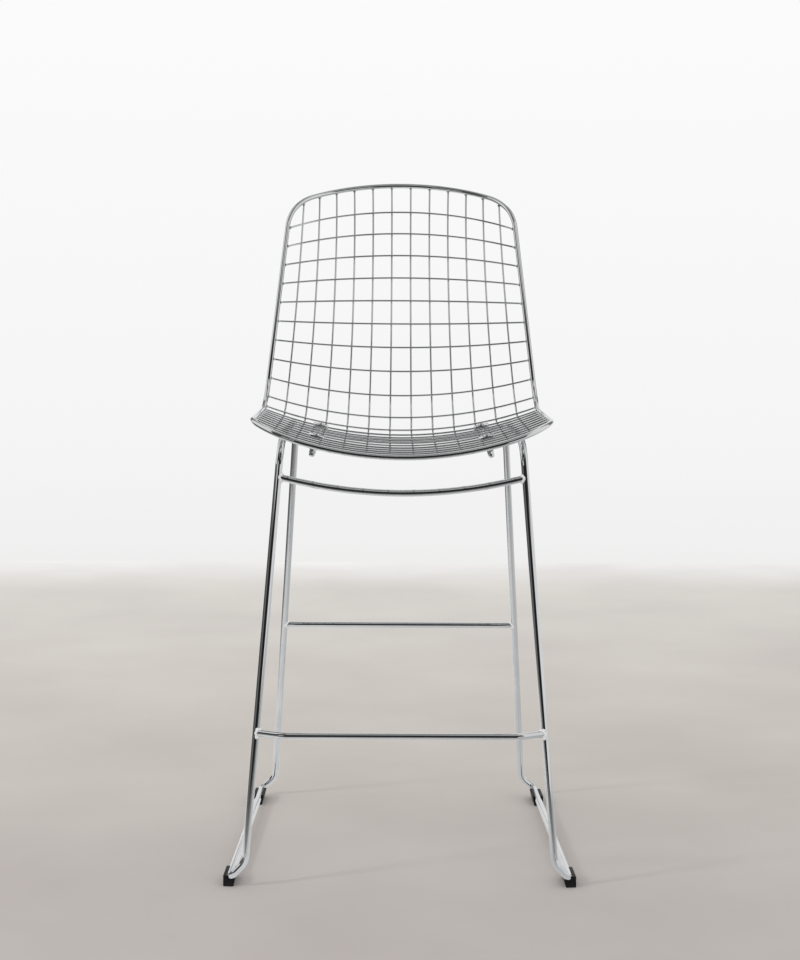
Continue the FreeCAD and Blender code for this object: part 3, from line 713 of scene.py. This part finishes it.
@dataclass
class SeatShell:
    """Wire seat and back: rim, cross wires, long wires, anchor wires and the welds that hold them.

    The collar is a profile in millimetres: distance out along a wire's end, and radius.
    """

    chrome_rod: ChromeFinish
    chrome_wire: ChromeFinish
    form: ShellForm = field(default_factory=ShellForm)
    wire_radius: float = 1.5 * MM
    layer: float = 1.55 * MM
    long_count: int = 12
    back_count: int = 10
    seat_count: int = 10
    top_margin: float = 0.0525
    back_pitch: float = 0.0405
    seat_pitch: float = 0.0348
    anchor_cells: float = 4.0
    front_clamp_wire: int = 17
    rear_clamp_wire: int = 12
    cross_search: Pair = (0.5, 1.0)
    long_margin: float = 2.0 * MM
    nugget: Pair = (1.75 * MM, 1.0 * MM)
    nugget_spread: Pair = (0.92, 1.12)
    nugget_step: int = 20
    nugget_sides: int = 12
    collar: Tuple[Pair, ...] = ((-2.6, 1.45), (-2.4, 1.56), (-1.5, 1.68), (-0.7, 2.05), (0.1, 2.55),
                                (0.9, 2.85), (1.7, 2.5), (2.0, 1.0))
    collar_spread: Pair = (0.92, 1.15)
    collar_sides: int = 14
    seed: int = 11

    @cached_property
    def cell(self) -> float:
        """Share of the shell's width between two long wires."""
        return 2.0 / (self.long_count + 1)

    @cached_property
    def stations(self) -> List[float]:
        """Places of the cross wires along the centre line, from the top down."""
        first = self.form.run - self.top_margin
        places = [first - i * self.back_pitch for i in range(self.back_count)]
        return places + [places[-1] - i * self.seat_pitch for i in range(1, self.seat_count + 1)]

    @cached_property
    def long_shares(self) -> List[float]:
        """Places of the long wires across the shell, from left to right."""
        return [-1.0 + number * self.cell for number in range(1, self.long_count + 1)]

    def wire_names(self) -> List[str]:
        """Names of all mesh wires."""
        names = ["cross_wire_%02d" % number for number in range(1, len(self.stations) + 1)]
        names += ["long_wire_%02d" % number for number in range(1, self.long_count + 1)]
        return names + ["anchor_wire_" + side.name.lower() for side in Side]

    def cross_end(self, number: int) -> float:
        """Find where a cross wire ends.

        Args:
            number: number of the wire, counted from the top.

        Returns:
            Its share across the shell at its right end.
        """
        s = self.stations[number - 1]
        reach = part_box("cross_wire_%02d" % number)[1].x

        def overshoot(u: float) -> float:
            """How far the end's outermost point lies past the reach."""
            heading = self.form.across(u, s)
            rim = self.wire_radius * math.hypot(heading.y, heading.z)
            return self.form.off(u, s, self.layer).x + rim - reach

        return bisect(overshoot, *self.cross_search)

    def long_ends(self, number: int) -> Pair:
        """Find where a long wire ends.

        Args:
            number: number of the wire, counted from the left.

        Returns:
            Its places along the shell at the front and at the top.
        """
        u = self.long_shares[number - 1]
        low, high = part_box("long_wire_%02d" % number)

        def ahead(s: float) -> float:
            """How far the front end's foremost point lies behind the box."""
            heading = self.form.along(u, s)
            rim = self.wire_radius * math.hypot(heading.x, heading.z)
            return self.form.off(u, s, -self.layer).y - rim - low.y

        def above(s: float) -> float:
            """How far the top end's highest point lies above the box."""
            heading = self.form.along(u, s)
            rim = self.wire_radius * math.hypot(heading.x, heading.y)
            return self.form.off(u, s, -self.layer).z + rim - high.z

        half = self.form.run / 2.0
        return bisect(ahead, self.long_margin, half), bisect(above, half, self.form.run - self.long_margin)

    @cached_property
    def cross_reach(self) -> List[float]:
        """Shares across the shell at the right ends of all cross wires."""
        return [self.cross_end(number) for number in range(1, len(self.stations) + 1)]

    @cached_property
    def long_reach(self) -> List[Pair]:
        """Places along the shell at the ends of all long wires."""
        return [self.long_ends(number) for number in range(1, self.long_count + 1)]

    def wire_ends(self) -> Iterator[Tuple[Vector, Vector]]:
        """List the wire ends that sit on the rim.

        Returns:
            Pairs of an end's centre and the direction in which the wire runs out.
        """
        form = self.form
        for s, end in zip(self.stations, self.cross_reach):
            for u, way in ((end, 1.0), (-end, -1.0)):
                yield form.off(u, s, self.layer), form.across(u, s) * way
        for u, (front, top) in zip(self.long_shares, self.long_reach):
            yield form.off(u, front, -self.layer), -form.along(u, front)
            yield form.off(u, top, -self.layer), form.along(u, top)

    def crossings(self) -> Iterator[Pair]:
        """List where wires of the two layers touch.

        Returns:
            Pairs of a share across the shell and a place along it.
        """
        for u, (front, top) in zip(self.long_shares, self.long_reach):
            for s, end in zip(self.stations, self.cross_reach):
                if front < s < top and abs(u) < end:
                    yield u, s
        first = self.stations[self.front_clamp_wire - 1]
        last = self.stations[self.rear_clamp_wire - 1]
        for side in Side:
            for s in self.stations:
                if first - MM < s < last + MM:
                    yield side.value * self.anchor_cells * self.cell, s

    def nuggets(self) -> Iterator[Rings]:
        """Shape the flattened spot welds where long and cross wires touch.

        Returns:
            Rings of points of each nugget.
        """
        wide, deep = self.nugget
        chance = random.Random(self.seed)
        angles = latitudes(self.nugget_step)
        for u, s in self.crossings():
            girth = wide * chance.uniform(*self.nugget_spread)
            profile = [(deep * math.sin(angle), girth * math.cos(angle)) for angle in angles]
            yield turned_rings(self.form.point(u, s), self.form.normal(u, s), profile, self.nugget_sides)

    def collars(self) -> Iterator[Rings]:
        """Shape the small collars of weld where wire ends sit on the rim.

        Returns:
            Rings of points of each collar.
        """
        chance = random.Random(self.seed + 1)
        root = self.collar[0][1]
        for end, heading in self.wire_ends():
            size = chance.uniform(*self.collar_spread)
            profile = [(out * MM, (root + (radius - root) * size) * MM) for out, radius in self.collar]
            yield turned_rings(end, heading, profile, self.collar_sides)

    def build(self) -> None:
        """Dress the wires and the rim and add their welds."""
        self.chrome_rod.dress(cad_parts["seat_rim"])
        log.info("seat_rim: dressed")
        for name in self.wire_names():
            self.chrome_wire.dress(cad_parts[name])
        log.info("mesh wires: %d dressed", len(self.wire_names()))
        for name, welds in (("mesh_spot_welds", self.nuggets()), ("rim_welds", self.collars())):
            seat_piece(ring_object(name, welds), self.chrome_wire, Slot.WIRE)


@dataclass(frozen=True)
class WeldedJoint:
    """A bar's end on a rod: the bar's axis starts on the rod's axis and runs away from it.

    Its bead swells by a share above and below the bar, where a lumpy joint also has lumps.
    """

    start: Vector
    bar_heading: Vector
    rod_heading: Vector
    bar_radius: float
    rod_radius: float
    swell: float
    lumpy: bool

    def seam(self, turn: float) -> Tuple[Vector, Vector]:
        """Find a point of the line where the two surfaces meet.

        Args:
            turn: angle round the bar.

        Returns:
            The point, and the direction that looks away from both rods.
        """
        first, second = square_pair(self.bar_heading)
        spoke = first * math.cos(turn) + second * math.sin(turn)
        edge = spoke * self.bar_radius
        flat_edge = edge - self.rod_heading * edge.dot(self.rod_heading)
        flat_run = self.bar_heading - self.rod_heading * self.bar_heading.dot(self.rod_heading)
        square = flat_run.length_squared
        middle = flat_edge.dot(flat_run) / square
        rest = (flat_edge.length_squared - self.rod_radius ** 2) / square
        reach = -middle + math.sqrt(max(middle * middle - rest, 0.0))
        offset = edge + self.bar_heading * reach
        out = (offset - self.rod_heading * offset.dot(self.rod_heading)).normalized()
        return self.start + offset, (spoke + out).normalized()


@dataclass
class SledBase:
    """Two bent side frames with the bars between them and the welds at the bars' ends.

    Swells, ripples and waves are shares of a weld's radius, and a lump's seat is one of its rod's radius.
    """

    chrome: ChromeFinish
    weld: WeldFinish
    shell: SeatShell
    frame_radius: float = 5.5 * MM
    bar_radius: float = 5.0 * MM
    seat_rest_gap: float = 0.15 * MM
    rail_search: Pair = (0.3, 1.0)
    rail_front_half: float = 0.174
    rail_rear_half: float = 0.169
    rail_front_overhang: float = 0.078
    rail_rear_overhang: float = 0.046
    front_knee: Triple = (0.2275, -0.26325, 0.037)
    rear_knee: Triple = (0.2104, 0.23365, 0.033)
    bow_drop: float = 0.055
    bow_sag: float = 0.0235
    bow_swell: float = 0.45
    foot_bar_height: float = 0.2275
    foot_bar_forward: float = 0.020
    foot_bar_inset: float = 0.040
    foot_bar_swell: float = 0.5
    stretcher_height: float = 0.311
    stretcher_swell: float = 0.4
    seat_rod_swell: float = 0.3
    bead_radius: float = 1.9 * MM
    bead_least: float = 0.88
    bead_ripple: float = 0.16
    bead_ripples: int = 15
    bead_steps: int = 120
    bead_sides: int = 10
    lump_rise: float = 5.2 * MM
    lump_size: Pair = (3.4 * MM, 2.9 * MM)
    lump_forward: float = 2.0
    lump_seat: float = 0.85
    lump_wave: float = 0.12
    lump_waves: float = 5.0
    lump_step: int = 10
    lump_sides: int = 20

    @cached_property
    def rod_depth(self) -> float:
        """Middle of the seat rods below the shell."""
        return self.shell.layer + self.shell.wire_radius + self.seat_rest_gap + self.bar_radius

    def seat_rod_end(self, number: int, half: float) -> Tuple[Vector, Vector]:
        """Find where a seat rod meets the middle of the right rail.

        Args:
            number: cross wire above the rod, counted from the top.
            half: half distance between the rails there.

        Returns:
            The point, and the direction of the rod from there to the middle.
        """
        form = self.shell.form
        s = self.shell.stations[number - 1]
        u = bisect(lambda v: form.off(v, s, -self.rod_depth).x - half, *self.rail_search)
        return form.off(u, s, -self.rod_depth), -form.across(u, s)

    def joints(self) -> Iterator[Tuple[str, List[WeldedJoint]]]:
        """List the welded joints of the right side.

        Returns:
            Pairs of a piece's name and its joints.
        """
        rail_front, front_rod = self.seat_rod_end(self.shell.front_clamp_wire, self.rail_front_half)
        rail_rear, rear_rod = self.seat_rod_end(self.shell.rear_clamp_wire, self.rail_rear_half)
        rail = (rail_rear - rail_front).normalized()
        front_top = rail_front - rail * self.rail_front_overhang
        rear_top = rail_rear + rail * self.rail_rear_overhang
        front_leg = (front_top - Vector(self.front_knee)).normalized()
        rear_leg = (rear_top - Vector(self.rear_knee)).normalized()

        def on_leg(top: Vector, leg: Vector, height: float) -> Vector:
            """Point of a leg's middle at a height."""
            return top - leg * ((top.z - height) / leg.z)

        def joint(start: Vector, bar: Vector, rod: Vector, swell: float, lumpy: bool = False) -> WeldedJoint:
            """Joint of a bar on a rod of the side frame."""
            return WeldedJoint(start, bar, rod, self.bar_radius, self.frame_radius, swell, lumpy)

        bow_end = on_leg(front_top, front_leg, front_top.z - self.bow_drop)
        dip = 2.0 * math.atan(self.bow_sag / bow_end.x)
        bow = Vector((-math.cos(dip), 0.0, -math.sin(dip)))
        yield "bow_welds", [joint(bow_end, bow, front_leg, self.bow_swell)]
        foot_end = on_leg(front_top, front_leg, self.foot_bar_height)
        foot_bar = Vector((-self.foot_bar_inset, -self.foot_bar_forward, 0.0)).normalized()
        yield "foot_bar_welds", [joint(foot_end, foot_bar, front_leg, self.foot_bar_swell, lumpy=True)]
        stretcher_end = on_leg(rear_top, rear_leg, self.stretcher_height)
        stretcher = Vector((-1.0, 0.0, 0.0))
        yield "stretcher_welds", [joint(stretcher_end, stretcher, rear_leg, self.stretcher_swell)]
        yield "seat_rod_welds", [joint(rail_front, front_rod, rail, self.seat_rod_swell),
                                 joint(rail_rear, rear_rod, rail, self.seat_rod_swell)]

    def bead(self, welded: WeldedJoint) -> Rings:
        """Lay a rippled bead of weld along a joint's seam.

        Args:
            welded: the joint.

        Returns:
            Rings of points, in order along the closed seam.
        """
        turns = whole_turn(self.bead_steps)
        seam = [welded.seam(turn) for turn in turns]
        rings = []
        for i, (point, out) in enumerate(seam):
            heading = (seam[(i + 1) % self.bead_steps][0] - seam[i - 1][0]).normalized()
            aside = heading.cross(out).normalized()
            lift = aside.cross(heading)
            ripple = self.bead_ripple * abs(math.sin(turns[i] * self.bead_ripples / 2.0))
            swell = welded.swell * abs(out.dot(welded.rod_heading))
            radius = self.bead_radius * (self.bead_least + ripple + swell)
            spokes = [aside * math.cos(turn) + lift * math.sin(turn) for turn in whole_turn(self.bead_sides)]
            rings.append([point + spoke * radius for spoke in spokes])
        return rings

    def lumps(self, welded: WeldedJoint) -> Iterator[Rings]:
        """Drop two lumps of weld on the rod's front, above and below the bar.

        Args:
            welded: the joint.

        Returns:
            Rings of points of each lump.
        """
        face = (welded.bar_heading + Vector((0.0, -self.lump_forward, 0.0))).normalized()
        half, girth = self.lump_size
        profile = []
        for angle in latitudes(self.lump_step):
            wave = 1.0 + self.lump_wave * math.sin(self.lump_waves * angle)
            profile.append((half * math.sin(angle), girth * math.cos(angle) * wave))
        for way in (1.0, -1.0):
            rise = welded.rod_heading * (way * self.lump_rise)
            middle = welded.start + rise + face * (self.lump_seat * welded.rod_radius)
            yield turned_rings(middle, welded.rod_heading, profile, self.lump_sides)

    def build_welds(self, name: str, joints: Sequence[WeldedJoint]) -> Piece:
        """Build the welds of one bar, on the right and mirrored to the left.

        Args:
            name: name of the piece.
            joints: joints of the right side.

        Returns:
            The new piece.
        """
        def both(forms: Iterable[Rings]) -> Iterator[Rings]:
            """Each form on both sides."""
            for rings in forms:
                for side in Side:
                    yield [[Vector((p.x * side.value, p.y, p.z)) for p in ring] for ring in rings]

        beads = [self.bead(welded) for welded in joints]
        lumps = [rings for welded in joints if welded.lumpy for rings in self.lumps(welded)]
        return ring_object(name, both(lumps), both(beads))

    def build(self) -> None:
        """Dress the frames and bars and add their welds."""
        bars = ["front_seat_rod", "rear_seat_rod", "front_bow", "front_foot_bar", "rear_stretcher"]
        for name in ["side_frame_" + side.name.lower() for side in Side] + bars:
            self.chrome.dress(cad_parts[name])
            log.info("%s: dressed", name)
        for name, joints in self.joints():
            seat_piece(self.build_welds(name, joints), self.weld, Slot.ROD)


@dataclass
class SeatClamps:
    """Clamp plates, lugs, bolts and cap nuts that hold the shell on the seat rods."""

    chrome: ChromeFinish
    plate_rounding: float = 0.7 * MM
    lug_rounding: float = 0.5 * MM
    bolt_rounding: float = 0.45 * MM
    nut_rounding: float = 0.4 * MM

    def build(self) -> None:
        """Replace the fittings with ones whose edges are rounded."""
        parts = [("seat_bolts", "button_bolts", self.bolt_rounding)]
        parts.append(("cap_nuts", "acorn_nuts", self.nut_rounding))
        for where in corner_names():
            parts.append(("clamp_plate_" + where, "pressed_clamp_" + where, self.plate_rounding))
            parts.append(("bolt_lug_" + where, "welded_lug_" + where, self.lug_rounding))
        for node, name, width in parts:
            piece = softened_copy(name, node, width)
            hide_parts(node)
            seat_piece(piece, self.chrome, Slot.FITTING)


@dataclass
class FloorGlides:
    """Four moulded glides that clip round the runners."""

    plastic: GlideFinish
    rounding: float = 0.7 * MM

    def build(self) -> None:
        """Replace the glides with ones whose edges are rounded."""
        for where in corner_names():
            piece = softened_copy("moulded_glide_" + where, "glide_" + where, self.rounding)
            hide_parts("glide_" + where)
            seat_piece(piece, self.plastic, Slot.GLIDE)


# Studio

@dataclass(frozen=True)
class TentPanel:
    """A panel of one tone in the tent, in degrees; azimuth 0 faces the camera and grows to the right."""

    azimuth: Pair
    elevation: Pair
    tone: float
    edge: float

    def share(self, aim: Pair) -> float:
        """Say how far a direction lies in the panel.

        Args:
            aim: azimuth and elevation in degrees.

        Returns:
            A share from 0 outside to 1 inside, with a soft edge.
        """
        share = 1.0
        for (low, high), value in zip((self.azimuth, self.elevation), aim):
            share *= smooth_step(low - self.edge, low + self.edge, value)
            share *= 1.0 - smooth_step(high - self.edge, high + self.edge, value)
        return share


@dataclass
class Studio:
    """Floor, pale backdrop, soft light, the tent that polished metal sees, and the camera.

    The wall pairs the upward part of a view's direction with the backdrop's colour there.
    """

    floor_finish: FloorFinish
    tent_finish: TentFinish
    floor_half_width: float = 5.0
    floor_front: float = -6.0
    floor_back: float = 2.82
    tent_radius: float = 2.4
    tent_middle: float = 0.5
    tent_top: float = 89.0
    tent_tone: float = 0.93
    tent_step: float = 1.25
    panels: Tuple[TentPanel, ...] = (
        TentPanel((-168, -142), (3, 60), 0.22, 3),
        TentPanel((118, 146), (3, 60), 0.22, 3),
        TentPanel((-200, 200), (70, 120), 0.32, 3),
        TentPanel((-70, 60), (40, 72), 0.20, 3),
        TentPanel((-24, 60), (47, 60), 0.75, 2),
        TentPanel((-64, 52), (4, 44), 0.035, 2),
        TentPanel((-140, 24), (-90, 7), 0.10, 2),
        TentPanel((-72, -44), (-90, 7), 0.18, 3),
        TentPanel((-38, 24), (-90, 9), 0.02, 2),
        TentPanel((-46, -23), (5, 18), 0.85, 2),
    )
    wall: Tuple[Tuple[float, Triple], ...] = (
        (-0.165, (0.845, 0.838, 0.830)),
        (-0.145, (0.876, 0.874, 0.874)),
        (-0.10, (0.908, 0.908, 0.908)),
        (0.0, (0.937, 0.937, 0.937)),
        (0.12, (0.965, 0.965, 0.965)),
    )
    light_level: float = 0.98
    key_place: Triple = (-4.2, -2.0, 3.0)
    key_aim: Triple = (0.0, 0.0, 0.3)
    key_size: Pair = (0.55, 0.55)
    key_power: float = 58.0
    camera_place: Triple = (-0.022, -3.14335, 0.93545)
    camera_yaw: float = -0.377
    camera_pitch: float = -6.580
    camera_roll: float = 0.33
    camera_lens: float = 75.65

    def build_floor(self) -> None:
        """Lay the floor, which ends where the backdrop begins."""
        left, right = -self.floor_half_width, self.floor_half_width
        front, back = self.floor_front, self.floor_back
        corners = [(left, front, 0.0), (right, front, 0.0), (right, back, 0.0), (left, back, 0.0)]
        mesh = bmesh.new()
        mesh.faces.new([mesh.verts.new(corner) for corner in corners])
        floor = linked_object("studio_floor", mesh)
        self.floor_finish.dress(floor)

    def tone(self, aim: Pair) -> float:
        """Work out the tent's tone in a direction.

        Args:
            aim: azimuth and elevation in degrees.

        Returns:
            The tone, 1 for white.
        """
        tone = self.tent_tone
        for panel in self.panels:
            tone += (panel.tone - tone) * panel.share(aim)
        return tone

    def build_tent(self) -> None:
        """Stretch the tent of plain tones that only mirror-like surfaces see."""
        around = int(360.0 / self.tent_step)
        lowest = -math.degrees(math.asin(self.tent_middle / self.tent_radius))
        levels = int((90.0 - lowest) / self.tent_step)
        heights = [lowest + (self.tent_top - lowest) * level / levels for level in range(levels + 1)]
        azimuths = [-180.0 + self.tent_step * step for step in range(around)]

        def place(azimuth: float, elevation: float) -> Vector:
            """Point of the tent in a direction."""
            flat = math.cos(math.radians(elevation)) * self.tent_radius
            rise = math.sin(math.radians(elevation)) * self.tent_radius
            turn = math.radians(azimuth)
            return Vector((flat * math.sin(turn), -flat * math.cos(turn), self.tent_middle + rise))

        rings = [[place(azimuth, elevation) for azimuth in azimuths] for elevation in heights]
        tent = ring_object("studio_tent", [rings])
        tones = tent.data.attributes.new(self.tent_finish.attribute, "FLOAT", "POINT")
        for vertex, tone in zip(tent.data.vertices, tones.data):
            aim = vertex.co - Vector((0.0, 0.0, self.tent_middle))
            turn = math.atan2(aim.x, -aim.y)
            tone.value = self.tone((math.degrees(turn), math.degrees(math.asin(aim.z / aim.length))))
        self.tent_finish.dress(tent)
        for ray in ("camera", "diffuse", "transmission", "volume_scatter", "shadow"):
            setattr(tent, "visible_" + ray, False)

    def build_backdrop(self) -> None:
        """Set the pale backdrop, and the even light that matt surfaces see in its place."""
        world = bpy.data.worlds.new("studio_backdrop")
        world.use_nodes = True
        world.node_tree.nodes.clear()
        bench = NodeBench(world.node_tree)
        wall = bench.ramp(bench.axis(bench.place("Generated"), "Z"), self.wall)
        backdrop = bench.add("ShaderNodeBackground", {"Color": wall}).outputs[0]
        white = {"Color": (1.0, 1.0, 1.0, 1.0), "Strength": self.light_level}
        even = bench.add("ShaderNodeBackground", white).outputs[0]
        path = bench.add("ShaderNodeLightPath", {})
        seen = bench.math("MAXIMUM", path.outputs["Is Camera Ray"], path.outputs["Is Glossy Ray"])
        seen = bench.math("MAXIMUM", seen, path.outputs["Is Transmission Ray"])
        bench.add("ShaderNodeOutputWorld", {"Surface": bench.blend(seen, even, backdrop)})
        bpy.context.scene.world = world

    def build_key(self) -> None:
        """Hang the soft key light, which neither the camera nor the metal sees."""
        lamp = bpy.data.lights.new("soft_key", "AREA")
        lamp.shape = "RECTANGLE"
        lamp.size, lamp.size_y = self.key_size
        lamp.energy = self.key_power
        key = bpy.data.objects.new("soft_key", lamp)
        key.location = self.key_place
        key.rotation_euler = (Vector(self.key_aim) - key.location).to_track_quat("-Z", "Y").to_euler()
        key.visible_camera = False
        key.visible_glossy = False
        bpy.context.scene.collection.objects.link(key)

    def build_camera(self) -> None:
        """Stand the camera where the photograph was taken from."""
        lens = bpy.data.cameras.new("camera")
        lens.lens = self.camera_lens
        camera = bpy.data.objects.new("camera", lens)
        yaw = Matrix.Rotation(math.radians(self.camera_yaw), 4, "Z")
        tilt = Matrix.Rotation(math.radians(90.0 + self.camera_pitch), 4, "X")
        roll = Matrix.Rotation(math.radians(self.camera_roll), 4, "Z")
        camera.matrix_world = Matrix.Translation(self.camera_place) @ yaw @ tilt @ roll
        bpy.context.scene.collection.objects.link(camera)
        bpy.context.scene.camera = camera

    def build(self) -> None:
        """Build the whole studio."""
        bpy.context.scene.view_settings.view_transform = "Standard"
        self.build_floor()
        self.build_tent()
        self.build_backdrop()
        self.build_key()
        self.build_camera()
        log.info("studio: floor, tent, light and camera set")


def main() -> None:
    """Build the stool's looks, piece by piece, and the studio around it."""
    logging.basicConfig(level=logging.INFO, format="%(name)s: %(message)s")
    rod_chrome = ChromeFinish("rod_chrome")
    wire_chrome = ChromeFinish("wire_chrome")
    fitting_chrome = ChromeFinish("fitting_chrome", polish=0.03, haze=0.08)
    shell = SeatShell(rod_chrome, wire_chrome)
    shell.build()
    SledBase(rod_chrome, WeldFinish("weld_silver"), shell).build()
    SeatClamps(fitting_chrome).build()
    FloorGlides(GlideFinish("glide_plastic")).build()
    Studio(FloorFinish("floor_with_painted_reflection"), TentFinish("tent_tones")).build()


if __name__ == "__main__":
    main()
